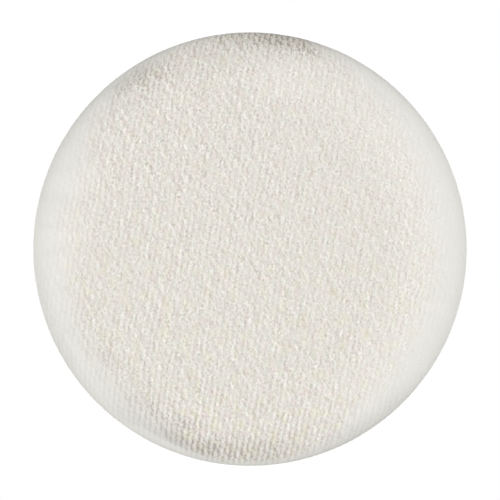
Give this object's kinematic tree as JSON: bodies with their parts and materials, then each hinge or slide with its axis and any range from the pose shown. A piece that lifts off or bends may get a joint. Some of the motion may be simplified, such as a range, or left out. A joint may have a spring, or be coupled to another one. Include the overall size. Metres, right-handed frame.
{
  "type": "round powder puff",
  "caption": "Round cream velour powder puff with a foam core, sewn rim seam and satin finger band across the back, for patting loose or pressed powder onto skin.",
  "frame": {"origin": "on the table under the middle of the puff, which lies on its back", "axes": "+Z out of the face, +X along the finger band, +Y towards the hand-closed part of the seam, which is the top of the picture"},
  "size_m": [0.075, 0.075, 0.014],
  "materials": {
    "velour": "cream cut-pile velour knit, matte",
    "foam": "open-cell polyurethane foam, matte",
    "satin": "cream satin ribbon, soft sheen",
    "thread": "cream spun sewing thread"
  },
  "bodies": {
    "pad": {"face_cover": "velour", "back_cover": "velour", "foam_core": "foam", "seam_thread": "thread", "closing_thread": "thread", "band_tack_right": "thread", "band_tack_left": "thread"},
    "band": {"finger_band": "satin"}
  },
  "joints": [
    {"name": "band_lift", "type": "slide", "parent": "pad", "child": "band", "axis": [0, 0, -1], "range_m": [0, 0.01], "deforming": ["finger_band"]}
  ]
}
